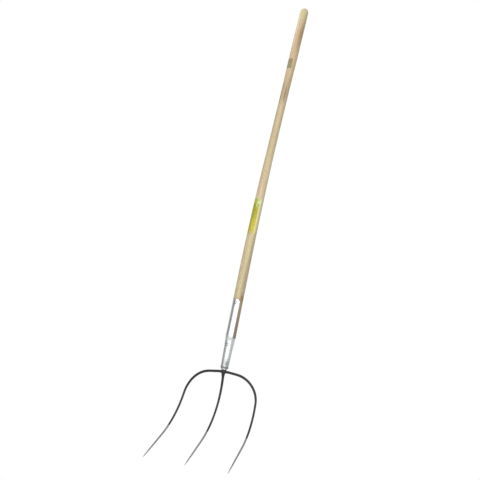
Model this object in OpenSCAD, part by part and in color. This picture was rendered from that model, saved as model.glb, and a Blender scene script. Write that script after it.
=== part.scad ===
// Three-tine hay fork: long bent ash handle, strapped steel socket, two bars that make three tines.
// Units are mm. The part stands upright with its tines down: Z runs up the straight grip of the
// handle, X is across the tines, and the tines curve forward to -Y. The origin is on the handle's
// axis, in the middle of the straight round stretch that a rack clip or a hand closes on.

/* [Handle] */
// Length of the wood, from the domed end to the bottom of the socket
handle_len = 1216; // [900:1:1500]
// Diameter of the round grip at the top
grip_d = 27.4; // [22:0.1:34]
// Length of the round grip
grip_len = 150; // [80:1:250]
// Height of the dome on the top end, with the chamfer below it
dome_h = 15; // [5:0.5:25]
// Diameter of the slim waist below the grip
waist_d = 25; // [20:0.1:32]
// Diameter of the swell just above the socket
swell_d = 31.2; // [26:0.1:40]
// Angle of the steamed bend in the lower half, in degrees
bend_angle = 4.24; // [0.5:0.01:8]
// Length of wood that the bend takes up
bend_len = 433; // [200:1:600]
// Straight run from the crown up to the bend
bend_above_crown = 304; // [250:1:400]

/* [Socket] */
// Diameter of the socket at its rim
rim_d = 30.8; // [28:0.1:40]
// Diameter of the socket above its rounded nose
nose_d = 24.4; // [18:0.1:30]
// Height of the rim above the crown
rim_z = 109; // [80:1:140]
// Wall of the socket
socket_wall = 1.6; // [1:0.1:3]
// Height of the ends of the two straps above the crown
strap_top = 231; // [180:1:280]
// Width of each strap
strap_w = 26.4; // [18:0.1:28]
// Thickness of each strap
strap_t = 1.2; // [0.8:0.1:2.5]
// Rounding of the strap corners
strap_r = 10; // [2:0.5:13]
// Diameter of the rivet shanks
rivet_d = 4.2; // [3:0.1:6]
// Height of the upper rivet above the crown
top_rivet_z = 219; // [180:1:260]
// Height of the lower rivet above the crown
low_rivet_z = 86; // [60:1:95]

/* [Tines] */
// Diameter of the tine bars at the crown
bar_d = 8; // [5:0.1:12]
// Distance that the tips hang below the crown
tine_len = 301; // [200:1:380]
// Height of the middle of the cross bar above its shoulders
crown_rise = 3.6; // [0:0.1:8]
// Half of the cross bar before the shoulder
shoulder_x = 39; // [20:1:60]
// Radius of the shoulders
shoulder_r = 87; // [50:1:110]
// Splay of the outer tines below the shoulders, in degrees
splay = 5.2; // [0:0.1:12]
// Angle at which the tines leave the crown towards the back, in degrees
back_angle = 14.2; // [0:0.1:25]
// Angle of the tips towards the front, in degrees
tip_angle = 41.3; // [15:0.1:60]
// Radius of the curve of the tines seen from the side
side_r = 243.5; // [150:0.5:500]

/* [Hidden] */
grip_r = grip_d / 2;
end_z = grip_len / 2 + dome_h;          // domed end above the origin
handle_foot = 16;                       // bottom of the wood above the crown
crown_d = handle_len + handle_foot - end_z;   // crown below the origin, along the handle
bend_lo = crown_d - bend_above_crown;   // foot of the bend
bend_hi = bend_lo - bend_len;           // head of the bend
bend_rad = bend_len * 180 / PI / bend_angle;
fit = 0.05;                             // gap left between pieces

// Wood radius at a distance d below the origin, above the socket
wood = [[grip_len / 2, grip_r], [150, grip_r - 0.8], [210, waist_d / 2], [280, waist_d / 2],
        [bend_hi, 12.75], [460, 13.05], [520, 13.65], [580, 14.15], [630, 14.5], [690, 14.85],
        [750, 15.25], [790, 15.45], [bend_lo, swell_d / 2]];
function wood_r(d) = lookup(d, wood);
// Point of the handle's axis at a distance d below the origin, and how far it leans there
function turn(d) = min(max(d - bend_hi, 0), bend_len) / bend_len * bend_angle;
function axis_pt(d) =
  let (a = turn(d), rest = max(d - bend_lo, 0))
  [0, bend_rad * (1 - cos(a)) + rest * sin(a),
   -min(d, bend_hi) - bend_rad * sin(a) - rest * cos(a)];
// A point on the handle's skin at distance d, angle a round the axis and radius r
function skin(d, a, r) =
  let (t = turn(d)) axis_pt(d) + [r * cos(a), r * sin(a) * cos(t), r * sin(a) * sin(t)];

// Everything below the bend is drawn from the crown, with z up the socket
module at_head() translate(axis_pt(crown_d)) rotate([bend_angle, 0, 0]) children();

// A tube of rings, each with the same count of points, closed at both ends
module rings(pts) {
  m = len(pts); n = len(pts[0]);
  flat = [for (ring = pts) each ring];
  polyhedron(flat, concat(
    [[for (k = [n - 1 : -1 : 0]) k]],
    [for (i = [0 : m - 2], k = [0 : n - 1]) let (j = (k + 1) % n)
      each [[i * n + k, i * n + j, (i + 1) * n + k], [i * n + j, (i + 1) * n + j, (i + 1) * n + k]]],
    [[for (k = [0 : n - 1]) (m - 1) * n + k]]), convexity = 6);
}
// A round bar along the points p with radii r, for a path that never runs along Y
module bar(p, r, n = 20) {
  m = len(p);
  rings([for (i = [0 : m - 1])
    let (t = p[min(i + 1, m - 1)] - p[max(i - 1, 0)], u = cross([0, 1, 0], t) / norm(cross([0, 1, 0], t)),
         w = cross(t, u) / norm(t))
    [for (k = [0 : n - 1]) p[i] + r[i] * (cos(k * 360 / n) * u - sin(k * 360 / n) * w)]]);
}
module spin(profile) rotate_extrude($fn = 96) polygon(profile);

// ---- handle ----
module grip_end() {
  spin(concat([[0, end_z]], [for (a = [15 : 15 : 90]) [grip_r * sin(a), end_z - dome_h * (1 - cos(a))]],
    [for (w = wood) if (w[0] <= bend_hi) [w[1], -w[0]]], [[0, -bend_hi]]));
}
module bend_wood() {
  s = 18; n = 48;
  rings([for (i = [0 : s]) let (d = bend_hi + bend_len * i / s)
    [for (k = [0 : n - 1]) skin(d, k * 360 / n, wood_r(d) - 0.03)]]);
}
socket_out = [[nose_d / 2, handle_foot], [rim_d / 2 - 1.1, 78], [rim_d / 2, rim_z]];
strap_in = [[rim_d / 2 - 0.42, rim_z - 12], [rim_d / 2 + 0.06, rim_z], [14.8, 150], [14.7, 190],
            [14.6, strap_top]];
function grown(line, g) = [for (p = line) [p[0] + g, p[1]]];
function flip(line) = [for (i = [len(line) - 1 : -1 : 0]) line[i]];
module strap_shell(g, t) spin(concat(grown(strap_in, g), flip(grown(strap_in, t))));
module strap_outline(g) {
  w = strap_w / 2 + g; r = strap_r;
  difference() {
    translate([-w, rim_z - 20]) square([2 * w, strap_top - rim_z + 20]);
    for (s = [-1, 1]) translate([s * w, strap_top]) difference() {
      translate([-r, -r]) square([2 * r, 2 * r]);
      translate([-s * r, -r]) circle(r = r, $fn = 64);
    }
  }
}
module strap_side(front, g = 0) {
  translate([0, front ? 0 : 60, 0]) rotate([90, 0, 0]) linear_extrude(60) strap_outline(g);
}
module socket_wood() {
  difference() {
    spin([[0, handle_foot + 0.3], [nose_d / 2 - socket_wall - 1.2, handle_foot + 0.3],
          [nose_d / 2 - socket_wall, handle_foot + 2.5], [rim_d / 2 - socket_wall - 1.15, 78],
          [rim_d / 2 - socket_wall - fit, rim_z], [rim_d / 2 - socket_wall + 0.4, rim_z + 0.4],
          [15.9, rim_z + 5], [15.9, 150], [15.95, 175], [15.85, 200], [swell_d / 2 + 0.1, strap_top],
          [swell_d / 2, bend_above_crown], [0, bend_above_crown]]);
    intersection() {
      strap_shell(-fit, 6);
      union() { strap_side(true, 0.1); strap_side(false, 0.1); }
    }
    translate([0, 0, 10]) cylinder(d = 9.1, h = 91, $fn = 48);
    for (z = [top_rivet_z, low_rivet_z]) rivet_hole(z);
  }
}
module rivet_hole(z) translate([0, 0, z]) rotate([90, 0, 0]) cylinder(d = rivet_d + 0.1, h = 60, center = true, $fn = 32);

module handle() color([0.83, 0.73, 0.56]) {
  grip_end();
  bend_wood();
  at_head() socket_wood();
}

// ---- socket, straps and rivets ----
module socket() color([0.82, 0.83, 0.84]) at_head() difference() {
  spin(concat([[4.75, 12.1]],
    [for (a = [0 : 15 : 90]) [nose_d / 2 - 4 + 4 * sin(a), 16.1 - 4 * cos(a)]],
    [socket_out[1], socket_out[2]],
    [[rim_d / 2 - socket_wall, rim_z], [rim_d / 2 - socket_wall - 1.1, 78],
     [nose_d / 2 - socket_wall + fit, handle_foot + 2.3], [nose_d / 2 - socket_wall - 1.2, handle_foot],
     [nose_d / 2 - socket_wall - 4, 13.9], [4.75, 13.9]]));
  rivet_hole(low_rivet_z);
}
module strap(front) at_head() difference() {
  intersection() {
    strap_shell(0, strap_t);
    strap_side(front);
  }
  rivet_hole(top_rivet_z);
}
module front_strap() color([0.80, 0.81, 0.83]) strap(true);
module back_strap() color([0.80, 0.81, 0.83]) strap(false);

// Outer skin that a rivet head beds on
function bed_r(z) = z > rim_z ? lookup(z, [for (p = strap_in) [p[1], p[0]]]) + strap_t
  : lookup(z, [for (p = socket_out) [p[1], p[0]]]);
module rivet(z) at_head() {
  b = bed_r(z);
  translate([0, 0, z]) {
    translate([0, b + 1.2, 0]) rotate([90, 0, 0]) cylinder(d = rivet_d, h = 2 * b + 2.2, $fn = 32);
    difference() {
      translate([0, -b + 1, 0]) rotate([90, 0, 0]) rotate_extrude($fn = 48)
        polygon([[0, 0], [4.6, 0], [4.6, 1.3], [4.1, 2], [3.1, 2.6], [1.6, 3], [0, 3.1]]);
      translate([0, 0, -20]) cylinder(r = b + 0.03, h = 40, $fn = 96);
    }
    translate([0, b + 0.95, 0]) rotate([-90, 0, 0]) cylinder(r1 = rivet_d / 2 + 0.9, r2 = 1.4, h = 1.3, $fn = 32);
  }
}
module top_rivet() color([0.62, 0.63, 0.65]) rivet(top_rivet_z);
module lower_rivet() color([0.62, 0.63, 0.65]) rivet(low_rivet_z);
// Washers under the peened tails, at the back
module rivet_burrs() color([0.68, 0.68, 0.69]) at_head()
  for (z = [top_rivet_z, low_rivet_z]) difference() {
    translate([0, bed_r(z) - 1, z]) rotate([-90, 0, 0]) cylinder(d = 9.4, h = 1.9, $fn = 48);
    translate([0, 0, z - 20]) cylinder(r = bed_r(z) + 0.03, h = 40, $fn = 96);
    rivet_hole(z);
  }

// ---- tang, crown and tines ----
collar_z = 8.5;                         // underside of the tang's collar
module tang() color([0.70, 0.71, 0.72]) at_head() difference() {
  spin([[0, collar_z], [8.3, collar_z], [9.3, 9.4], [9.3, 11.3], [8.6, 12], [4.5, 12], [4.5, 88], [2, 100],
        [0, 100]]);
  rivet_hole(low_rivet_z);
}
// Side view of the tines: distance towards the back at v below the crown
side_v = side_r * (sin(tip_angle) + sin(back_angle));
function side_y(v) = v > side_v ? side_y(side_v) - (v - side_v) * tan(tip_angle)
  : side_r * (cos(asin(sin(back_angle) - v / side_r)) - cos(back_angle));
boss_lean = atan(side_y(18) / 18);
root_v = bar_d / 2 + 0.75 - crown_rise;  // top of the centre tine below the crown's reference
// Forged lump that joins the collar, the cross bar and the centre tine
module crown_boss() color([0.14, 0.14, 0.15]) at_head() difference() {
  union() {
    intersection() {
      translate([0, 0, crown_rise - 1.5]) sphere(r = 7.8, $fn = 96);
      translate([-10, -10, collar_z - 0.1 - 20]) cube(20);
    }
    rotate([boss_lean, 0, 0]) spin([[0, 1], [7.2, 1], [6.4, -4], [5.6, -8.5], [5, -13], [4.8, -15.5], [0, -15.5]]);
  }
  bar([for (x = [-20 : 2 : 20]) bow_pt(1, [x, rise(x)])], [for (x = [-20 : 2 : 20]) bar_d / 2 + 0.06], 18);
  rotate([boss_lean, 0, 0]) translate([0, 0, -25]) cylinder(d = bar_d + 0.4, h = 25 - root_v + 0.3, $fn = 48);
}
tine_r = [[0, 1], [18, 0.98], [45, 0.915], [75, 0.85], [105, 0.81], [170, 0.775], [190, 0.73], [230, 0.675],
          [262, 0.59], [280, 0.48], [291, 0.34], [297, 0.2], [tine_len, 0.08]];
function tine_rad(v) = bar_d / 2 * lookup(v, tine_r);
arc_v = shoulder_r * (1 - sin(splay));
arc_x = shoulder_x + shoulder_r * cos(splay);
function rise(x) = abs(x) < 50 ? -crown_rise * pow(1 - pow(x / 50, 2), 2) : 0;
half_bow = concat(
  [for (x = [0 : shoulder_x / 9 : shoulder_x - 1]) [x, rise(x)]],
  [for (a = [0 : (90 - splay) / 16 : 90 - splay]) let (x = shoulder_x + shoulder_r * sin(a))
    [x, shoulder_r * (1 - cos(a)) + rise(x)]],
  [for (i = [1 : 22]) let (v = arc_v + (tine_len - arc_v) * i / 22) [arc_x + (v - arc_v) * tan(splay), v]]);
function bow_pt(s, p) = [s * p[0], side_y(max(p[1], 0)), -p[1]];
module outer_tine_bow() color([0.13, 0.13, 0.14]) at_head() {
  path = concat([for (i = [len(half_bow) - 1 : -1 : 1]) bow_pt(-1, half_bow[i])], [for (p = half_bow) bow_pt(1, p)]);
  bar(path, [for (p = path) tine_rad(-p[2])], 18);
}
module centre_tine() color([0.13, 0.13, 0.14]) at_head() {
  vs = [for (i = [0 : 32]) root_v + (tine_len - root_v) * i / 32];
  path = [for (v = vs) [0, side_y(v), -v]];
  bar(path, [for (v = vs) tine_rad(v)], 18);
}

// ---- stuck-on labels, with no lettering ----
module patch(d0, d1, a0, a1, lift, t) {
  s = 14; q = 12; n = q + 1; in = (s + 1) * n;   // in = index of the first point of the inner skin
  tri = function (a, b, c, d) [[a, b, c], [a, c, d]];
  pts = [for (g = [t, 0], i = [0 : s], k = [0 : q])
    let (d = d0 + (d1 - d0) * i / s) skin(d, a0 + (a1 - a0) * k / q, wood_r(d) + lift + g)];
  polyhedron(pts, concat(
    [for (i = [0 : s - 1], k = [0 : q - 1]) let (a = i * n + k) each tri(a, a + 1, a + n + 1, a + n)],
    [for (i = [0 : s - 1], k = [0 : q - 1]) let (a = in + i * n + k) each tri(a, a + n, a + n + 1, a + 1)],
    [for (i = [0 : s - 1]) let (a = i * n) each tri(a, a + n, in + a + n, in + a)],
    [for (i = [0 : s - 1]) let (a = i * n + q) each tri(a, in + a, in + a + n, a + n)],
    [for (k = [0 : q - 1]) [k, in + k, in + k + 1, k + 1]],
    [for (k = [0 : q - 1]) let (a = s * n + k) [a, a + 1, in + a + 1, in + a]]), convexity = 6);
}
module handle_label() color([0.86, 0.82, 0.35]) patch(584, 699, 205, 328, 0.08, 0.3);
module grip_mark() color([0.42, 0.41, 0.32]) patch(97, 131, 212, 301, 0.08, 0.35);

handle();
socket();
front_strap();
back_strap();
tang();
crown_boss();
outer_tine_bow();
centre_tine();
top_rivet();
lower_rivet();
rivet_burrs();
handle_label();
grip_mark();
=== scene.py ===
"""Looks of the three-tine hay fork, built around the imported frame.

Shapes are worked out in millimetres, as in the CAD, and mesh_object turns them into metres.
Materials work in metres.
"""
import math
import bmesh
import bpy
from mathutils import Matrix, Vector, noise


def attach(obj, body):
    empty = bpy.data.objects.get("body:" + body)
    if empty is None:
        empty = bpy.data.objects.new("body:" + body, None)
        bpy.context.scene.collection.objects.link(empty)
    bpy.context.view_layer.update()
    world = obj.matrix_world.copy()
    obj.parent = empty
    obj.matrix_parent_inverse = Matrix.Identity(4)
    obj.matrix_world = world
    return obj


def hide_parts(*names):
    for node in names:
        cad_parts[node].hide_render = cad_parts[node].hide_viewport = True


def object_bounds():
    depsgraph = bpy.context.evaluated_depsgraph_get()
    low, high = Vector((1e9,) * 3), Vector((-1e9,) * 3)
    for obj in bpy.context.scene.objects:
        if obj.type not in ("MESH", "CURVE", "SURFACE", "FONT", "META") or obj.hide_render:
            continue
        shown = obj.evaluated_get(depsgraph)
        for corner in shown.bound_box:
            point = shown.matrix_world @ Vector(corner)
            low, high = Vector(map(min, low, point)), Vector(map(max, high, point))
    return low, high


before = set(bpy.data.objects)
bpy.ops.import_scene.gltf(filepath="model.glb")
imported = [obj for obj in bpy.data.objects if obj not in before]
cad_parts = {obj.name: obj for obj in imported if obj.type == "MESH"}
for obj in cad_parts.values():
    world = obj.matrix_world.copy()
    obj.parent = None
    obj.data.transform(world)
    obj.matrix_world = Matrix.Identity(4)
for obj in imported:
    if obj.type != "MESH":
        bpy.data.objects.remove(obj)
CAD_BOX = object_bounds()
MM = 0.001
rad, sin, cos = math.radians, math.sin, math.cos

# ------------------------------------------------------------------ dimensions, as in the CAD (mm)
# d runs down the handle's axis from the origin. In the head's frame z runs up from the crown, v runs down.
END_Z, DOME, GRIP_R = 90.0, 15.0, 13.7  # top end, height of its dome, grip radius
WOOD_LEN, WOOD_END = 1216, 16  # length of the handle, height of its lower end above the crown
CROWN_D = WOOD_LEN + WOOD_END - END_Z
BEND, BEND_LEN, BEND_UP = 4.24, 433.0, 304.0  # degrees, length of the bend, its lower end above the crown
BEND_LO = CROWN_D - BEND_UP
BEND_HI = BEND_LO - BEND_LEN
BEND_RAD = BEND_LEN / rad(BEND)
RIM_Z, RIM_R, NOSE_Z, NOSE_R = 109.0, 15.4, 16.1, 12.2  # socket: height and radius of its rim and nose
STRAP_TOP, STRAP_FOOT = 231.0, RIM_Z - 12
STRAP_HALF, STRAP_CORNER, STRAP_T = 13.2, 10.0, 1.2  # half width, corner radius, thickness
CROWN_RISE, COLLAR_Z = 3.6, 8.5
BAR_R, TINE_LEN = 4.0, 301.0
SHOULDER_X, SHOULDER_R, SPLAY = 39.0, 87.0, 5.2  # flat half width, shoulder radius, splay in degrees
BACK_A, TIP_A, SIDE_R = 14.2, 41.3, 243.5  # tines seen from the side: two angles and the arc's radius
RIVETS = (219.0, 86.0)
PAINT_V = 187.0  # the paint ends this far down the tines

# (d, radius) of the wood, (z, radius) of the socket and of the straps' inner face, (v, part of BAR_R)
# of the tines
WOOD = [(-75, 13.7), (75, 13.7), (150, 12.9), (210, 12.5), (280, 12.5), (BEND_HI, 12.75), (460, 13.05),
        (520, 13.65), (580, 14.15), (630, 14.5), (690, 14.85), (750, 15.25), (790, 15.45),
        (BEND_LO, 15.6), (CROWN_D - STRAP_TOP, 15.7), (CROWN_D - 200, 15.85), (CROWN_D - 175, 15.95),
        (CROWN_D - 150, 15.9), (CROWN_D - RIM_Z - 6, 15.9)]
SOCKET = [(NOSE_Z, NOSE_R), (45, 13.25), (78, RIM_R - 1.1), (RIM_Z, RIM_R)]
STRAP = [(STRAP_FOOT, RIM_R - 0.42), (RIM_Z, RIM_R + 0.03), (RIM_Z + 6, 15.4), (150, 14.8), (190, 14.7),
         (STRAP_TOP, 14.6)]
TAPER = [(0, 1), (18, 0.98), (45, 0.915), (75, 0.85), (105, 0.81), (170, 0.775), (190, 0.73), (230, 0.675),
         (262, 0.59), (280, 0.48), (291, 0.34), (297, 0.21), (300, 0.11), (TINE_LEN, 0.04)]


def curve(table, x):
    """Smooth monotone curve through the points of a table."""
    if x <= table[0][0]:
        return table[0][1]
    if x >= table[-1][0]:
        return table[-1][1]
    i = max(k for k in range(len(table) - 1) if table[k][0] <= x)

    def slope(k):
        if k <= 0 or k >= len(table) - 1:
            return 0.0
        a = (table[k][1] - table[k - 1][1]) / (table[k][0] - table[k - 1][0])
        b = (table[k + 1][1] - table[k][1]) / (table[k + 1][0] - table[k][0])
        return 0.0 if a * b <= 0 else 2 * a * b / (a + b)

    (x0, y0), (x1, y1) = table[i], table[i + 1]
    h, t = x1 - x0, (x - x0) / (x1 - x0)
    return ((2 * t**3 - 3 * t**2 + 1) * y0 + (t**3 - 2 * t**2 + t) * h * slope(i)
            + (3 * t**2 - 2 * t**3) * y1 + (t**3 - t**2) * h * slope(i + 1))


def turn(d):
    """Angle that the handle's axis has turned through at d."""
    return min(max(d - BEND_HI, 0), BEND_LEN) / BEND_RAD


def axis_pt(d):
    a, rest = turn(d), max(d - BEND_LO, 0)
    return Vector((0, BEND_RAD * (1 - cos(a)) + rest * sin(a),
                   -min(d, BEND_HI) - BEND_RAD * sin(a) - rest * cos(a)))


def skin(d, a, r):
    """A point on the handle, d mm below the origin along its axis, at angle a and radius r."""
    t = turn(d)
    return axis_pt(d) + Vector((r * cos(a), r * sin(a) * cos(t), r * sin(a) * sin(t)))


HEAD = Matrix.Translation(axis_pt(CROWN_D)) @ Matrix.Rotation(rad(BEND), 4, "X")


def side_y(v):
    """Where a tine is front to back, v below the crown: an arc that ends in a straight tip."""
    top = SIDE_R * (sin(rad(TIP_A)) + sin(rad(BACK_A)))
    w = min(v, top)
    y = SIDE_R * (cos(math.asin(sin(rad(BACK_A)) - w / SIDE_R)) - cos(rad(BACK_A)))
    return y - max(v - top, 0) * math.tan(rad(TIP_A))


def strap_half(z):
    """Half width of a strap at that height: full, then closing round its top corners."""
    up = max(z - (STRAP_TOP - STRAP_CORNER), 0)
    return STRAP_HALF - STRAP_CORNER + math.sqrt(max(STRAP_CORNER**2 - up * up, 0))


def wood_r(d, a):
    """Wood radius with the faint flats and waves of a turned and sanded stick, and beds for the straps."""
    amount = 0.16 if abs(d) > 80 else 0.05
    r = curve(WOOD, d) + amount * (noise.noise(Vector((cos(a) * 1.3, sin(a) * 1.3, d / 55))) - 0.35)
    z, x = CROWN_D - d, abs(r * cos(a))
    if RIM_Z < z < STRAP_TOP and x < strap_half(z) + 1.0:
        r = min(r, curve(STRAP, z) + (STRAP_T - 0.05 if x > strap_half(z) - 0.25 else -0.03))
    return r


def rise(x):
    """v of the bow, x from its middle, where it rises over the crown. Up is negative."""
    return -CROWN_RISE * (1 - (x / 50) ** 2) ** 2 if abs(x) < 50 else 0.0


# ------------------------------------------------------------------ camera
CAM_AZ, CAM_DIST, CAM_LOW = rad(28), 4000, 360.9  # round the head, away from it, below its crown
YAW, PITCH, ROLL = rad(-0.43), rad(11.0), rad(11.59)
cam_data = bpy.data.cameras.new("camera")
cam_data.sensor_width, cam_data.lens = 36, 97.38
cam_data.shift_x, cam_data.shift_y = -0.00104, 0.00104
cam_data.clip_start, cam_data.clip_end = 0.1, 100
camera = bpy.data.objects.new("camera", cam_data)
bpy.context.scene.collection.objects.link(camera)
bpy.context.scene.camera = camera
eye = Vector((CAM_DIST * sin(CAM_AZ), -CAM_DIST * cos(CAM_AZ), -CAM_LOW))
fwd = Vector((-sin(CAM_AZ), cos(CAM_AZ), 0))
right, up = Vector((cos(CAM_AZ), sin(CAM_AZ), 0)), Vector((0, 0, 1))
fwd, right = fwd * cos(YAW) + right * sin(YAW), right * cos(YAW) - fwd * sin(YAW)
fwd, up = fwd * cos(PITCH) + up * sin(PITCH), up * cos(PITCH) - fwd * sin(PITCH)
right, up = right * cos(ROLL) + up * sin(ROLL), up * cos(ROLL) - right * sin(ROLL)
place = HEAD @ Matrix.Translation(eye) @ Matrix((right, up, -fwd)).transposed().to_4x4()
place.translation = place.translation * MM
camera.matrix_world = place


# ------------------------------------------------------------------ mesh helpers
def mesh_object(name, verts, faces, smooth=True, scale=MM):
    me = bpy.data.meshes.new(name)
    me.from_pydata([tuple(Vector(v) * scale) for v in verts], [], faces)
    me.update()
    for p in me.polygons:
        p.use_smooth = smooth
    ob = bpy.data.objects.new(name, me)
    bpy.context.scene.collection.objects.link(ob)
    return ob


def weld(ob, dist=1e-6):
    """Joins doubled points and turns every face outward."""
    bm = bmesh.new()
    bm.from_mesh(ob.data)
    bmesh.ops.remove_doubles(bm, verts=bm.verts, dist=dist)
    bmesh.ops.recalc_face_normals(bm, faces=bm.faces)
    bm.to_mesh(ob.data)
    bm.free()
    return ob


def sharpen(ob, angle):
    """Creases over that angle shade hard, the rest smooth."""
    ob.data.set_sharp_from_angle(angle=rad(angle))
    return ob


def circle(n):
    return [(cos(2 * math.pi * k / n), sin(2 * math.pi * k / n)) for k in range(n)]


def rings_object(name, rings, close_ends=True):
    """A closed tube through rings of points. A ring of one point is a pole."""
    verts, starts = [], []
    for r in rings:
        starts.append(len(verts))
        verts += list(r)
    faces = []
    for i in range(len(rings) - 1):
        a, b, na, nb = starts[i], starts[i + 1], len(rings[i]), len(rings[i + 1])
        n = max(na, nb)
        for k in range(n):
            j = (k + 1) % n
            if na == 1:
                faces.append((a, b + k, b + j))
            elif nb == 1:
                faces.append((a + k, b, a + j))
            else:
                faces.append((a + k, b + k, b + j, a + j))
    if close_ends:
        if len(rings[0]) > 1:
            faces.append(tuple(range(len(rings[0]))))
        if len(rings[-1]) > 1:
            faces.append(tuple(range(starts[-1] + len(rings[-1]) - 1, starts[-1] - 1, -1)))
    return mesh_object(name, verts, faces)


def lathe(name, profile, n=96, closed=False, place=HEAD):
    """Turned piece: profile is (r, z) points from top to bottom. A closed profile joins its own ends."""
    rings = []
    for r, z in profile:
        spread = [(0, 0)] if r <= 1e-6 else circle(n)
        rings.append([place @ Vector((r * c, r * s, z)) for c, s in spread])
    if closed:
        rings.append(list(rings[0]))
    return weld(rings_object(name, rings, close_ends=not closed))


def sweep(path, radii, n):
    """Rings round a path that never runs along Y."""
    rings = []
    for i, (p, r) in enumerate(zip(path, radii)):
        t = (path[min(i + 1, len(path) - 1)] - path[max(i - 1, 0)]).normalized()
        u = Vector((0, 1, 0)).cross(t).normalized()
        w = t.cross(u)
        rings.append([HEAD @ (p + r * (c * u - s * w)) for c, s in circle(n)])
    return rings


def sheet_faces(n, m):
    """Faces of two layers of m rows of n points, the second m * n points on, joined along their rims."""
    off = n * m
    faces = []
    for i in range(m - 1):
        for k in range(n - 1):
            a, b, c, e = i * n + k, i * n + k + 1, (i + 1) * n + k + 1, (i + 1) * n + k
            faces += [(a, b, c, e), (off + e, off + c, off + b, off + a)]
    last = (m - 1) * n
    for a in range(0, last, n):
        b, c, e = a + n, a + n - 1, a + 2 * n - 1
        faces += [(a, b, off + b, off + a), (c, off + c, off + e, e)]
    for k in range(n - 1):
        a, b = last + k, last + k + 1
        faces += [(k, off + k, off + k + 1, k + 1), (a, b, off + b, off + a)]
    return faces


# ------------------------------------------------------------------ node helpers
def srgb(*rgb):
    """Linear colour from 0 to 255 display values."""
    parts = [c / 255 for c in rgb]
    return tuple(c / 12.92 if c <= 0.04045 else ((c + 0.055) / 1.055) ** 2.4 for c in parts)


def rgba(v):
    return (*v, 1) if isinstance(v, tuple) and len(v) == 3 else v


class Mat:
    """Small wrapper that makes node materials short to write."""

    def __init__(self, name):
        self.m = bpy.data.materials.new(name)
        self.m.use_nodes = True
        self.t = self.m.node_tree
        self.b = self.t.nodes["Principled BSDF"]
        self.co = self.t.nodes.new("ShaderNodeTexCoord").outputs["Object"]

    def node(self, kind, **kw):
        n = self.t.nodes.new(kind)
        for k, v in kw.items():
            setattr(n, k, v)
        return n

    def link(self, a, b):
        self.t.links.new(a, b)

    def put(self, socket, v):
        if isinstance(v, bpy.types.NodeSocket):
            self.link(v, socket)
        else:
            socket.default_value = v

    def math(self, op, a, b=0.0, clamp=False):
        n = self.node("ShaderNodeMath", operation=op, use_clamp=clamp)
        self.put(n.inputs[0], a)
        self.put(n.inputs[1], b)
        return n.outputs[0]

    def add(self, a, b, clamp=False):
        return self.math("ADD", a, b, clamp)

    def sub(self, a, b):
        return self.math("SUBTRACT", a, b)

    def mul(self, a, b, clamp=False):
        return self.math("MULTIPLY", a, b, clamp)

    def vmath(self, op, a, b=(0, 0, 0)):
        n = self.node("ShaderNodeVectorMath", operation=op)
        self.put(n.inputs[0], a)
        self.put(n.inputs[1], b)
        return n.outputs["Value" if op in ("LENGTH", "DOT_PRODUCT") else "Vector"]

    def xyz(self, v=None):
        n = self.node("ShaderNodeSeparateXYZ")
        self.link(v or self.co, n.inputs[0])
        return n.outputs

    def join(self, x, y, z):
        n = self.node("ShaderNodeCombineXYZ")
        for s, v in zip(n.inputs, (x, y, z)):
            self.put(s, v)
        return n.outputs[0]

    def uv(self):
        return self.node("ShaderNodeTexCoord").outputs["UV"]

    def along(self, i):
        """Distance along axis i of the head's own frame, from the crown."""
        row = HEAD.inverted()[i]
        return self.add(self.vmath("DOT_PRODUCT", self.co, (row[0], row[1], row[2])), row[3] * MM)

    def scaled(self, sx, sy, sz):
        return self.vmath("MULTIPLY", self.co, (sx, sy, sz))

    def noise(self, v, scale=1.0, detail=3.0, rough=0.5):
        n = self.node("ShaderNodeTexNoise")
        self.link(v, n.inputs["Vector"])
        for k, x in (("Scale", scale), ("Detail", detail), ("Roughness", rough)):
            n.inputs[k].default_value = x
        return n.outputs["Fac"]

    def ramp(self, fac, stops):
        """Grey value through (position, value) stops."""
        n = self.node("ShaderNodeValToRGB")
        e = n.color_ramp.elements
        while len(e) < len(stops):
            e.new(0.5)
        for el, (p, c) in zip(e, stops):
            el.position, el.color = p, (c, c, c, 1)
        self.link(fac, n.inputs["Fac"])
        return n.outputs["Color"]

    def mix(self, fac, a, b):
        n = self.node("ShaderNodeMix", data_type="RGBA")
        self.put(n.inputs[0], fac)
        self.put(n.inputs[6], rgba(a))
        self.put(n.inputs[7], rgba(b))
        return n.outputs[2]

    def over(self, col, mask, amount, shade, clamp=False):
        """The colour with a shade laid over it where the mask is."""
        return self.mix(self.mul(mask, amount, clamp), col, srgb(*shade))

    def step(self, v, lo, hi):
        """0 below lo, 1 above hi, smooth between."""
        n = self.node("ShaderNodeMapRange", interpolation_type="SMOOTHSTEP")
        self.link(v, n.inputs["Value"])
        n.inputs["From Min"].default_value, n.inputs["From Max"].default_value = lo, hi
        return n.outputs["Result"]

    def under(self, v, lo, hi):
        """1 below lo, 0 above hi, smooth between."""
        return self.sub(1.0, self.step(v, lo, hi))

    def spot(self, centre, size):
        """1 at centre, falling to 0 at an ellipsoid of that size."""
        v = self.vmath("SUBTRACT", self.co, centre)
        v = self.vmath("MULTIPLY", v, tuple(1 / s for s in size))
        return self.under(self.vmath("LENGTH", v), 0.0, 1.0)

    def head_spot(self, centre, size):
        """A spot whose centre is given in mm in the head's frame."""
        return self.spot(tuple(c * MM for c in HEAD @ Vector(centre)), size)

    def bump(self, height, strength, distance, normal=None):
        n = self.node("ShaderNodeBump")
        n.inputs["Strength"].default_value = strength
        n.inputs["Distance"].default_value = distance
        self.link(height, n.inputs["Height"])
        if normal is not None:
            self.link(normal, n.inputs["Normal"])
        return n.outputs["Normal"]

    def set(self, **kw):
        names = dict(color="Base Color", rough="Roughness", metal="Metallic", normal="Normal",
                     coat="Coat Weight", coat_rough="Coat Roughness", spec="Specular IOR Level")
        for k, v in kw.items():
            self.put(self.b.inputs[names[k]], rgba(v))
        return self.m


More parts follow.
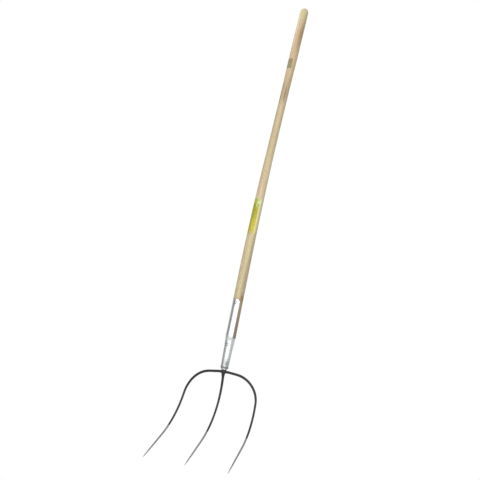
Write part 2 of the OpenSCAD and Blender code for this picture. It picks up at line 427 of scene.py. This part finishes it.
# ------------------------------------------------------------------ materials
def ash_wood():
    m = Mat("ash_wood")
    x, y, z = m.xyz()
    # growth rings about a pith well outside the stick, wandering slowly along it
    pith_x, pith_y, ring_gap = 0.045, 0.070, 0.0031
    wander = m.noise(m.co, 3.0, 2, 0.5)
    wave = m.noise(m.scaled(14, 14, 1.6), 3.0, 3, 0.55)
    dist = m.vmath("LENGTH", m.join(m.add(x, pith_x), m.add(y, pith_y), 0.0))
    dist = m.add(m.add(dist, m.mul(wander, 0.022)), m.mul(wave, 0.0035))
    ring = m.math("FRACT", m.mul(dist, 1 / ring_gap))
    line = m.ramp(ring, [(0.0, 0.55), (0.12, 1.0), (0.34, 0.35), (0.62, 0.08), (0.93, 0.0), (1.0, 0.55)])
    fibre = m.noise(m.scaled(1, 1, 0.022), 900, 4, 0.62)
    pores = m.mul(m.step(m.noise(m.scaled(1, 1, 0.05), 1500, 2, 0.5), 0.58, 0.70), line)
    # broad drifts of colour, then the grain over them
    broad = m.noise(m.scaled(1, 1, 0.10), 42, 3, 0.5)
    tint = m.noise(m.scaled(1, 1, 0.28), 11, 2, 0.5)
    green = m.noise(m.vmath("ADD", m.scaled(1, 1, 0.16), (3.1, 0.4, 1.7)), 60, 2, 0.5)
    col = m.mix(m.step(broad, 0.30, 0.72), srgb(206, 194, 156), srgb(192, 176, 136))
    col = m.over(col, m.step(tint, 0.46, 0.66), 0.75, (206, 172, 144))
    col = m.over(col, m.step(green, 0.50, 0.68), 0.45, (182, 176, 130))
    col = m.over(col, line, 0.30, (138, 112, 80))
    col = m.over(col, m.step(fibre, 0.45, 0.80), 0.38, (150, 122, 92))
    col = m.over(col, pores, 0.5, (104, 78, 54))
    # a duller upper part, and heartwood streaks in it: (centre, size, strength)
    upper = m.mul(m.step(z, -0.62, -0.20), m.under(z, 0.045, 0.085))
    col = m.over(col, upper, 0.40, (164, 140, 104))
    streak = m.step(m.noise(m.scaled(1, 1, 0.07), 190, 3, 0.55), 0.40, 0.56)
    for centre, size, k in (((0.0065, -0.0107, -0.220), (0.0050, 0.007, 0.052), 1.2),
                            ((-0.006, -0.0112, -0.222), (0.0060, 0.007, 0.052), 0.9),
                            ((0.0095, -0.0095, -0.012), (0.0065, 0.009, 0.075), 0.8),
                            ((0.014, -0.002, 0.020), (0.007, 0.012, 0.110), 0.7),
                            ((0.011, 0.010, -0.560), (0.008, 0.010, 0.150), 0.5),
                            ((0.015, -0.001, -0.862), (0.008, 0.014, 0.040), 0.9),
                            ((0.0148, -0.003, -0.880), (0.007, 0.012, 0.030), 0.8)):
        spot = m.mul(m.spot(centre, size), m.add(m.mul(streak, 0.6), 0.5), clamp=True)
        col = m.over(col, spot, k, (138, 108, 76), clamp=True)
    # a dull handled stretch below the grip, a small dark brown spot on the wood beside the top of the front
    # strap, a yellower top end
    dull = m.mul(m.step(z, -0.27, -0.22), m.under(z, -0.20, -0.12))
    col = m.over(col, dull, 0.35, (150, 134, 104))
    dark_spot = m.head_spot((14.8, -5.1, 236.5), (0.0070, 0.0095, 0.0160))
    col = m.over(col, dark_spot, 1.15, (146, 104, 66), clamp=True)
    col = m.over(col, m.step(z, 0.0, 0.060), 0.6, (182, 172, 130))
    # painted shade: the wood between the straps is darkened as if shaded in the gaps, most by the rim; grey
    # on the left, brown on the right
    hz = m.along(2)
    gap_shade = m.add(m.mul(m.under(hz, 0.120, 0.240), 0.45), m.mul(m.under(hz, 0.222, 0.240), 0.40))
    brown = m.mix(m.step(fibre, 0.4, 0.7), srgb(116, 98, 88), srgb(92, 74, 66))
    col = m.mix(gap_shade, col, m.mix(m.step(x, -0.012, 0.0), srgb(104, 106, 106), brown))
    # painted shade on the two flanks low on the handle, the sides seen edge-on from the camera, and faint
    # hand dirt in patches all over
    across = m.math("ABSOLUTE", m.add(m.mul(x, 0.88), m.mul(y, 0.47)))
    flank_shade = m.mul(m.step(across, 0.0085, 0.0150), m.under(z, -0.76, -0.64))
    col = m.over(col, flank_shade, 0.42, (138, 122, 96))
    grime = m.noise(m.scaled(1, 1, 0.6), 60, 4, 0.6)
    col = m.over(col, m.step(grime, 0.52, 0.78), 0.16, (108, 90, 68))
    height = m.add(m.mul(fibre, 0.6), m.mul(pores, -0.9))
    rough = m.add(m.mul(m.noise(m.scaled(1, 1, 0.2), 120, 3, 0.5), 0.18), 0.36)
    return m.set(color=col, rough=rough, normal=m.bump(height, 0.35, 0.0004),
                 coat=0.10, coat_rough=0.35, spec=0.35)


def polished_steel(name="polished_steel", tone=(225, 228, 228), rough0=0.20, lines=True):
    """Ground and polished steel. With lines it has the socket's marks too: turning, painted shade under the
    lip, a painted dark reflection low down, and rivet seats with painted shade.
    """
    m = Mat(name)

    def dimmed(k):
        return [c * k for c in tone]

    cloud = m.noise(m.scaled(1, 1, 0.35), 60, 4, 0.6)
    fine = m.noise(m.co, 900, 2, 0.5)
    pits = m.step(m.noise(m.co, 520, 2, 0.5), 0.70, 0.76)
    hz = m.along(2)
    nose = m.mul(m.under(hz, 0.018, 0.060), m.step(hz, 0.0118, 0.0126))
    col = m.mix(m.mul(m.step(cloud, 0.40, 0.75), 0.5), srgb(*tone), srgb(*dimmed(0.93)))
    col = m.over(col, pits, 0.35, dimmed(0.6))
    if lines:
        col = m.over(col, nose, 0.75, dimmed(0.84))
        # painted shade: a dark band round the nose's turned-under lip, where the crown shades it
        lip_shade = m.mul(m.step(hz, 0.0134, 0.0148), m.under(hz, 0.0168, 0.0186))
        col = m.over(col, lip_shade, 0.80, (96, 98, 98))
        # painted dark reflection: a grey patch low on the front right of the socket
        dark_reflection = m.head_spot((9.0, -10.0, 27.0), (0.0065, 0.0080, 0.0150))
        col = m.over(col, dark_reflection, 1.1, (150, 152, 152), clamp=True)
        # a dark seat line round each rivet head with painted shade of the head in it, strongest above and
        # below it
        hx = m.along(0)
        for z in RIVETS:
            dz = m.sub(hz, z * MM)
            far = m.vmath("LENGTH", m.join(hx, dz, 0.0))
            seat_and_shade = m.under(m.math("ABSOLUTE", m.sub(far, 0.0052)), 0.0004, 0.0013)
            seat_and_shade = m.mul(seat_and_shade, m.add(0.30, m.mul(m.math("ABSOLUTE", dz), 160), clamp=True))
            col = m.over(col, seat_and_shade, 0.75 if z > RIM_Z else 0.4, (104, 100, 86))
    rough = m.add(m.mul(cloud, 0.12), m.add(m.mul(nose, 0.06), rough0))
    grind = m.noise(m.scaled(60, 60, 1500), 1.0, 3, 0.6) if lines else cloud
    height = m.add(grind, m.mul(fine, 0.3))
    return m.set(color=col, metal=1.0, rough=rough, normal=m.bump(height, 0.05, 0.0001))


def tine_finish():
    """Black paint down to a clean edge, then ground bright points."""
    m = Mat("tine_paint")
    peel = m.noise(m.co, 420, 3, 0.55)
    cloud = m.noise(m.co, 70, 4, 0.6)
    edge = m.add(m.along(2), m.mul(m.noise(m.co, 260, 2, 0.5), 0.0012))
    paint = m.step(edge, -PAINT_V * MM, (-PAINT_V + 0.8) * MM)
    black = m.mix(m.step(cloud, 0.35, 0.7), srgb(30, 30, 31), srgb(44, 44, 45))
    black = m.over(black, m.step(m.noise(m.co, 340, 3, 0.6), 0.70, 0.74), 0.6, (84, 82, 79))
    scratch = m.noise(m.scaled(1, 1, 0.08), 1400, 2, 0.5)
    steel = m.mix(m.step(scratch, 0.35, 0.7), srgb(148, 149, 150), srgb(182, 183, 184))
    rough = m.add(m.mul(cloud, 0.14), m.add(0.26, m.mul(paint, 0.02)))
    hammered = m.bump(m.noise(m.co, 150, 1, 0.4), 0.35, 0.0016)
    skin_bump = m.bump(m.add(m.mul(peel, 0.7), m.mul(paint, 0.8)), 0.25, 0.0003, hammered)
    return m.set(color=m.mix(paint, steel, black), metal=m.sub(1.0, paint), rough=rough,
                 normal=skin_bump, spec=0.4)


def label_film():
    """Yellow film, a green and white head, cream margins. Plain fields, no lettering."""
    m = Mat("label_film")
    uv = m.uv()  # x runs round from 0 to 1, y runs down from 0 to 1
    x, y = m.xyz(uv)[:2]
    wob = m.noise(m.vmath("MULTIPLY", uv, (6, 14, 0)), 1.0, 3, 0.5)
    drift = m.step(wob, 0.35, 0.70)
    col = m.mix(m.step(y, 0.35, 0.80), m.mix(drift, srgb(166, 163, 30), srgb(152, 148, 22)),
                m.mix(drift, srgb(192, 181, 50), srgb(174, 162, 44)))
    # painted shade: the label darker towards the side where its wrap starts, as it turns away to the edge
    col = m.over(col, m.under(x, 0.20, 0.48), 0.75, (146, 146, 78))
    col = m.over(col, m.step(y, 0.86, 1.0), 0.6, (190, 172, 118))
    # the head: a pale panel with soft green and white patches
    head = m.under(m.add(y, m.mul(x, -0.05)), 0.17, 0.22)
    pale = m.step(m.add(x, m.mul(wob, 0.12)), 0.50, 0.90)
    col = m.mix(head, col, m.mix(pale, srgb(164, 172, 62), srgb(196, 204, 146)))
    for centre, size, shade in (((0.40, 0.190), (0.13, 0.060), (108, 116, 28)),
                                ((0.74, 0.195), (0.10, 0.050), (112, 122, 40)),
                                ((0.55, 0.200), (0.11, 0.045), (190, 206, 76)),
                                ((0.76, 0.105), (0.08, 0.034), (216, 222, 176)),
                                ((0.93, 0.080), (0.07, 0.080), (222, 222, 184)),
                                ((0.86, 0.255), (0.09, 0.045), (200, 214, 158)),
                                ((0.72, 0.040), (0.13, 0.022), (150, 158, 72)),
                                ((0.90, 0.930), (0.06, 0.025), (226, 224, 196))):
        gap = m.vmath("SUBTRACT", uv, (*centre, 0))
        far = m.vmath("LENGTH", m.vmath("MULTIPLY", gap, (1 / size[0], 1 / size[1], 0)))
        col = m.over(col, m.under(far, 0.45, 1.0), 0.85, shade)
    margin = m.step(m.math("ABSOLUTE", m.sub(x, 0.475)), 0.335, 0.352)
    col = m.over(col, margin, m.step(y, 0.20, 0.24), (212, 203, 138))
    wear = m.noise(m.vmath("MULTIPLY", uv, (30, 60, 0)), 1.0, 4, 0.65)
    col = m.over(col, m.step(wear, 0.58, 0.72), 0.25, (150, 140, 84))
    return m.set(color=col, rough=m.add(m.mul(wear, 0.2), 0.22), normal=m.bump(wear, 0.10, 0.0002),
                 coat=0.08, coat_rough=0.2, spec=0.3)


def olive_mark():
    """Worn dark olive transfer, a plain field."""
    m = Mat("olive_mark")
    uv = m.uv()
    patch = m.noise(m.vmath("MULTIPLY", uv, (5, 8, 0)), 1.0, 3, 0.6)
    fine = m.noise(m.vmath("MULTIPLY", uv, (60, 20, 0)), 1.0, 3, 0.6)
    col = m.mix(m.step(patch, 0.38, 0.62), srgb(124, 112, 78), srgb(138, 130, 94))
    col = m.over(col, m.step(fine, 0.52, 0.7), 0.4, (146, 132, 96))
    return m.set(color=col, rough=m.add(m.mul(fine, 0.2), 0.45), normal=m.bump(fine, 0.15, 0.0001))


WOODM = ash_wood()
STEEL = polished_steel()
RIVETM = polished_steel("rivet_steel", (188, 190, 192), 0.26, lines=False)
TINEM = tine_finish()
LABELM = label_film()
MARKM = olive_mark()


def finish_piece(ob, mat, node_names):
    ob.data.materials.append(mat)
    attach(ob, "root")
    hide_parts(*node_names)
    return ob


# ------------------------------------------------------------------ handle
SIDES, DOME_STEPS = 120, 16
angles = [2 * math.pi * j / SIDES for j in range(SIDES)]
rings = [[Vector((0, 0, END_Z))]]
for k in range(1, DOME_STEPS + 1):
    t = rad(90 * k / DOME_STEPS)
    # a slightly squared dome: softer than a hemisphere, rounder than a chamfer
    r, z = GRIP_R * sin(t) ** 0.92, END_Z - DOME * (1 - cos(t) ** 1.08)
    rings.append([Vector((r * cos(a), r * sin(a), z)) for a in angles])
d = -73.0
while d < CROWN_D - RIM_Z - 5.5:
    rings.append([skin(d, a, wood_r(d, a)) for a in angles])
    d += 4.0 if d < CROWN_D - STRAP_TOP - 8 else 1.5
# rounded shoulder into the socket, then the wedge inside it
for z, r in ((RIM_Z + 4.6, 15.8), (RIM_Z + 2.6, 15.4), (RIM_Z + 1.2, 14.8), (RIM_Z + 0.5, 14.1),
             (RIM_Z, 13.7), (78, 12.6), (40, 11.2), (18.5, 10.4), (16.3, 9.4)):
    rings.append([skin(CROWN_D - z, a, r) for a in angles])
handle = sharpen(rings_object("ash_handle", rings), 50)
finish_piece(handle, WOODM, ["handle"])

# ------------------------------------------------------------------ socket
HOLE_R, NOSE_ROUND, NOSE_STEPS = 4.75, 4, 12
outer = [(HOLE_R, NOSE_Z - NOSE_ROUND)]
for k in range(NOSE_STEPS + 1):  # rounded nose, from the tang hole out
    t = rad(90 * k / NOSE_STEPS)
    outer.append((NOSE_R - NOSE_ROUND + NOSE_ROUND * sin(t), NOSE_Z - NOSE_ROUND * cos(t)))
outer += [(curve(SOCKET, z), z) for z in [20 + 4 * i for i in range(22)] + [RIM_Z - 0.8]]
outer += [(RIM_R - 0.25, RIM_Z), (RIM_R - 1.35, RIM_Z), (RIM_R - 1.6, RIM_Z - 0.3)]
inner = [(RIM_R - 2.7, 78), (10.65, 18.3), (9.4, 15.9), (6.7, 13.9), (HOLE_R, 13.9)]
socket = sharpen(lathe("steel_socket", list(reversed(outer + inner)), 128, closed=True), 45)
finish_piece(socket, STEEL, ["socket"])


# ------------------------------------------------------------------ straps
def strap(name, front):
    """A curved strip with rounded top corners and eased edges, in rows across its width."""
    cols, foot_t, edge = 24, 0.12, 0.55
    corner_z = STRAP_TOP - STRAP_CORNER
    zs = [STRAP_FOOT, STRAP_FOOT + 0.4] + [RIM_Z - 10 + 4 * i for i in range(31)]
    zs = [z for z in zs if z < corner_z]
    zs += [corner_z + STRAP_CORNER * sin(rad(a)) for a in (0, 15, 30, 45, 58, 68, 76, 82, 87)]
    side = -1 if front else 1
    outer, inner = [], []
    for z in zs:
        h = strap_half(z) - (0.3 if z < RIM_Z - 11.5 else 0)
        # the lower end is forged out thin and ground into the socket
        thick = foot_t + (STRAP_T - foot_t) * min(1.0, max(0.0, (z - RIM_Z + 12) / 17)) ** 1.3
        ri = curve(STRAP, z)
        ro = ri + thick
        for k in range(cols + 1):
            u = -1 + 2 * k / cols
            x = h * math.copysign(1 - (1 - abs(u)) ** 1.6, u)  # closer rows near the edges
            ease = min(0.38, 0.4 * thick) * max(0.0, (abs(x) - (h - edge)) / edge) ** 2
            if z > STRAP_TOP - 0.3:
                ease = max(ease, 0.3)
            outer.append(HEAD @ Vector((x, side * math.sqrt((ro - ease) ** 2 - x * x), z)))
            inner.append(HEAD @ Vector((x, side * math.sqrt(ri * ri - x * x), z)))
    ob = weld(mesh_object(name, outer + inner, sheet_faces(cols + 1, len(zs))))
    return sharpen(ob, 35)


for nm, node, front in (("strap_front", "front_strap", True), ("strap_back", "back_strap", False)):
    finish_piece(strap(nm, front), STEEL, [node])

# ------------------------------------------------------------------ tang: a spike and its bright collar
collar = lathe("tang_collar", [(0.0, 100), (2.0, 99.5), (4.5, 88), (4.5, 12.1), (7.9, 12.05), (8.7, 11.8),
                               (9.2, 11.3), (9.35, 10.5), (9.3, 9.6), (8.9, 8.9), (8.3, 8.5), (6.5, 8.45),
                               (0.0, 8.45)])
finish_piece(sharpen(collar, 50), STEEL, ["tang"])


# ------------------------------------------------------------------ rivets and washers
def bed_r(z):
    """Radius of the steel that a rivet head lies on."""
    return curve(STRAP, z) + STRAP_T if z > RIM_Z else curve(SOCKET, z)


def rivet(name, z, node):
    b = bed_r(z)
    place = HEAD @ Matrix.Translation((0, 0, z)) @ Matrix.Rotation(rad(90), 4, "X")
    # z of the profile now points to the front; the head is a low dome, the tail a peened cone
    head = [(0.0, 2.05), (1.3, 1.97), (2.5, 1.65), (3.5, 1.1), (4.2, 0.35), (4.5, -0.25), (4.5, -0.6),
            (2.1, -0.65)]
    tail = [(2.1, 0.9), (3.0, 0.95), (2.9, 1.35), (2.3, 1.95), (1.3, 2.2), (0.0, 2.25)]
    ob = lathe(name, [(r, b + h) for r, h in head] + [(r, -b - h) for r, h in tail], 48, place=place)
    back = place.inverted()
    for v in ob.data.vertices:  # hammered, so never quite round
        p = v.co / MM
        if (back @ p).z > b - 0.2 or (back @ p).z < -b - 0.9:
            dent = Vector((noise.noise(p * 0.55), noise.noise(p * 0.7 + Vector((9, 3, 1))), 0.0)) * 0.18
            v.co = (p + place.to_3x3() @ dent) * MM
    sharpen(ob, 50)
    return finish_piece(ob, RIVETM, [node])


def burr(name, z):
    b = bed_r(z)
    place = HEAD @ Matrix.Translation((0, 0, z)) @ Matrix.Rotation(rad(-90), 4, "X")
    ring = [(2.2, 0.9), (4.3, 0.9), (4.65, 0.6), (4.7, -0.3), (4.6, -0.75), (2.2, -0.75)]
    ob = lathe(name, [(r, b + h) for r, h in ring], 64, closed=True, place=place)
    sharpen(ob, 40)
    return finish_piece(ob, RIVETM, ["rivet_burrs"])


rivet("rivet_top", RIVETS[0], "top_rivet")
rivet("rivet_low", RIVETS[1], "lower_rivet")
burr("burr_1", RIVETS[0])
burr("burr_2", RIVETS[1])

# ------------------------------------------------------------------ tines
ARC_V = SHOULDER_R * (1 - sin(rad(SPLAY)))
ARC_X = SHOULDER_X + SHOULDER_R * cos(rad(SPLAY))
ROOT_V = BAR_R + 0.75 - CROWN_RISE
# (x, v) from the middle of the bow to the right tip: the flat, the shoulder, the splayed tine
half = [(x, rise(x)) for x in [SHOULDER_X * i / 20 for i in range(20)]]
for i in range(65):
    a = rad(90 - SPLAY) * i / 64
    x = SHOULDER_X + SHOULDER_R * sin(a)
    half.append((x, SHOULDER_R * (1 - cos(a)) + rise(x)))
for i in range(1, 111):
    v = ARC_V + (TINE_LEN - ARC_V) * i / 110
    half.append((ARC_X + (v - ARC_V) * math.tan(rad(SPLAY)), v))


def forged(path, seed):
    """Radii along a forged bar: the taper, with a slow hammered unevenness."""
    return [BAR_R * curve(TAPER, -p.z) * (1 + 0.018 * noise.noise(Vector((p.x / 16, -p.z / 13, seed))))
            for p in path]


def tine_piece(name, points, seed, node):
    path = [Vector((x, side_y(max(v, 0)), -v)) for x, v in points]
    ob = weld(rings_object(name, sweep(path, forged(path, seed), 28)))
    return finish_piece(ob, TINEM, [node])


tine_piece("tine_bow", [(-x, v) for x, v in reversed(half)][:-1] + half, 2.0, "outer_tine_bow")
middle = [(0, ROOT_V + (TINE_LEN - ROOT_V) * i / 140) for i in range(141)]
tine_piece("tine_centre", middle, 7.0, "centre_tine")


# ------------------------------------------------------------------ crown forging, blended into the bars
def crown_forging():
    """A neck, a root and a thickened stretch of bar, remeshed into one soft forging."""
    lean = math.atan(side_y(18) / 18)
    neck = [(0.0, COLLAR_Z - 0.1), (7.2, COLLAR_Z - 0.1), (7.9, COLLAR_Z - 0.8), (8.1, 6.0), (7.8, 3.5),
            (7.2, 1.0), (0.0, 1.0)]
    root = [(0.0, 4.0), (7.2, 3.0), (7.0, 1.0), (6.3, -2.0), (5.5, -5.0), (4.9, -8.0), (4.4, -11),
            (4.15, -15), (3.9, -19), (0.0, -19.5)]
    bar, wing = 3.97, []
    for x in [-27 + 1.5 * i for i in range(37)]:
        near = max(0.0, 1 - abs(x) / 19) ** 1.9
        wing.append([HEAD @ Vector((x, (bar + 2.2 * near) * c,
                                    -rise(x) + (bar + (0.6 if s > 0 else 3.0) * near) * s))
                     for c, s in circle(40)])
    parts = [lathe("c1", neck, 64), lathe("c3", root, 64, place=HEAD @ Matrix.Rotation(lean, 4, "X")),
             weld(rings_object("c2", wing))]
    verts, faces = [], []
    for o in parts:
        base = len(verts)
        verts += [tuple(v.co) for v in o.data.vertices]
        faces += [tuple(base + i for i in p.vertices) for p in o.data.polygons]
        bpy.data.objects.remove(o)
    rough = mesh_object("crown_rough", verts, faces, scale=1.0)
    for kind, kw in (("REMESH", dict(mode="VOXEL", voxel_size=0.0006, use_smooth_shade=True)),
                     ("SMOOTH", dict(factor=0.6, iterations=9))):
        md = rough.modifiers.new(kind.lower(), kind)
        for k, v in kw.items():
            setattr(md, k, v)
    bpy.context.view_layer.update()
    me = bpy.data.meshes.new_from_object(rough.evaluated_get(bpy.context.evaluated_depsgraph_get()))
    bpy.data.objects.remove(rough)
    for p in me.polygons:
        p.use_smooth = True
    ob = bpy.data.objects.new("crown_forging", me)
    bpy.context.scene.collection.objects.link(ob)
    return ob


finish_piece(crown_forging(), TINEM, ["crown_boss"])


# ------------------------------------------------------------------ films on the handle
def film(name, d0, d1, a0, a1, lift, thick, mat, node, nx=48, ny=80, corner=2.0):
    """A thin film wrapped on the wood, with UVs that run round it and down it."""
    verts, uvs = [], []
    arc = rad(a1 - a0) * curve(WOOD, (d0 + d1) / 2)
    for layer in (0.0, thick):
        for i in range(ny + 1):
            dd = d0 + (d1 - d0) * i / ny
            edge = max(0.0, corner - min(dd - d0, d1 - dd))
            inset = (corner - math.sqrt(max(corner**2 - edge**2, 0))) / arc
            for k in range(nx + 1):
                u = inset + k / nx * (1 - 2 * inset)
                a = rad(a0 + (a1 - a0) * u)
                verts.append(skin(dd, a, wood_r(dd, a) + lift + layer))
                uvs.append((u, i / ny))
    ob = mesh_object(name, verts, sheet_faces(nx + 1, ny + 1))
    lay = ob.data.uv_layers.new(name="film")
    for lp in ob.data.loops:
        lay.data[lp.index].uv = uvs[lp.vertex_index]
    sharpen(ob, 40)
    return finish_piece(ob, mat, [node])


film("label_film", 584, 699, 205, 332, 0.03, 0.16, LABELM, "handle_label")
film("olive_mark", 97, 131, 212, 301, 0.03, 0.10, MARKM, "grip_mark", 32, 40, 1.2)

# ------------------------------------------------------------------ floor
FLOOR_R, FLOOR_GAP = 14, 0.0004
floor_z = CAD_BOX[0].z - FLOOR_GAP
floor = mesh_object("floor", [(FLOOR_R * c, FLOOR_R * s, floor_z) for c, s in circle(96)],
                    [tuple(range(96))], smooth=False, scale=1.0)
fm = Mat("floor_paper")
grain = fm.noise(fm.co, 40, 3, 0.5)
fm.set(color=fm.mix(grain, (0.91, 0.91, 0.91), (0.94, 0.94, 0.93)), rough=0.9, spec=0.2)
# one-sided paper: solid from above, clear for a camera that stands lower than the tips
mixer = fm.node("ShaderNodeMixShader")
fm.link(fm.node("ShaderNodeNewGeometry").outputs["Backfacing"], mixer.inputs[0])
fm.link(fm.b.outputs[0], mixer.inputs[1])
fm.link(fm.node("ShaderNodeBsdfTransparent").outputs[0], mixer.inputs[2])
fm.link(mixer.outputs[0], fm.t.nodes["Material Output"].inputs["Surface"])
floor.data.materials.append(fm.m)

# ------------------------------------------------------------------ world: soft patches of studio light
world = bpy.data.worlds.new("studio")
bpy.context.scene.world = world
world.use_nodes = True
wt = world.node_tree
wt.nodes.clear()


def wn(kind, **kw):
    n = wt.nodes.new(kind)
    for k, v in kw.items():
        setattr(n, k, v)
    return n


def wmath(op, a, b=None):
    n = wn("ShaderNodeMath", operation=op)
    wt.links.new(a, n.inputs[0])
    if isinstance(b, float):
        n.inputs[1].default_value = b
    elif b is not None:
        wt.links.new(b, n.inputs[1])
    return n.outputs[0]


def wfade(v, lo, hi, at_lo, at_hi):
    """at_lo below lo, at_hi above hi, smooth between."""
    n = wn("ShaderNodeMapRange", interpolation_type="SMOOTHSTEP")
    wt.links.new(v, n.inputs["Value"])
    for k, x in (("From Min", lo), ("From Max", hi), ("To Min", at_lo), ("To Max", at_hi)):
        n.inputs[k].default_value = x
    return n.outputs["Result"]


def toward(az, el):
    """Unit vector toward an azimuth, 0 in front of the fork, and an elevation."""
    a, e = rad(az), rad(el)
    return Vector((sin(a) * cos(e), -cos(a) * cos(e), sin(e)))


def wlobe(az, el, lo_dot, hi_dot, level, band=False):
    """Soft bright patch of studio round a direction. A band keeps near the horizon, like a strip of cloth."""
    dot = wn("ShaderNodeVectorMath", operation="DOT_PRODUCT")
    wt.links.new(tex.outputs["Generated"], dot.inputs[0])
    dot.inputs[1].default_value = toward(az, el)
    patch = wfade(dot.outputs["Value"], lo_dot, hi_dot, 0.0, level)
    if not band:
        return patch
    up = wn("ShaderNodeSeparateXYZ")
    wt.links.new(tex.outputs["Generated"], up.inputs[0])
    gap = wmath("ABSOLUTE", wmath("SUBTRACT", up.outputs["Z"], 0.10))
    return wmath("MULTIPLY", patch, wfade(gap, 0.22, 0.50, 1.0, 0.12))


tex = wn("ShaderNodeTexCoord")
total = wlobe(24, 8, 0.60, 0.90, 1.5)
for args in ((62, 0, -0.45, 0.45, 0.60, True), (-60, 0, 0.10, 0.75, 0.25, True),
             (208, 10, 0.40, 0.85, 0.8), (0, 90, 0.62, 0.95, 0.75)):
    total = wmath("ADD", total, wlobe(*args))
# the fork is lit by the patches over a low base, and the camera sees plain white
lit, seen = wn("ShaderNodeBackground"), wn("ShaderNodeBackground")
wt.links.new(wmath("ADD", total, 0.05), lit.inputs["Strength"])
lit.inputs["Color"].default_value = (1, 1, 1, 1)
seen.inputs["Color"].default_value = (1, 1, 1, 1)
seen.inputs["Strength"].default_value = 1.0
mx, path, wout = wn("ShaderNodeMixShader"), wn("ShaderNodeLightPath"), wn("ShaderNodeOutputWorld")
wt.links.new(path.outputs["Is Camera Ray"], mx.inputs[0])
wt.links.new(lit.outputs[0], mx.inputs[1])
wt.links.new(seen.outputs[0], mx.inputs[2])
wt.links.new(mx.outputs[0], wout.inputs["Surface"])


# ------------------------------------------------------------------ lamps
def area(name, az, el, dist, size, power, target=(0, 0, -0.6)):
    """A square lamp at that distance from its target, facing it."""
    d = bpy.data.lights.new(name, "AREA")
    d.size, d.energy = size, power
    o = bpy.data.objects.new(name, d)
    bpy.context.scene.collection.objects.link(o)
    way = toward(az, el)
    o.location = Vector(target) + way * dist
    o.rotation_mode = "QUATERNION"
    o.rotation_quaternion = way.to_track_quat("Z", "Y")
    return o


area("key", 14, 26, 2.6, 1.0, 13)
area("top_end", -66, 14, 0.40, 0.16, 0.9, target=(0, 0, 0.09))

sc = bpy.context.scene
sc.view_settings.view_transform = "Standard"
sc.view_settings.look = "None"
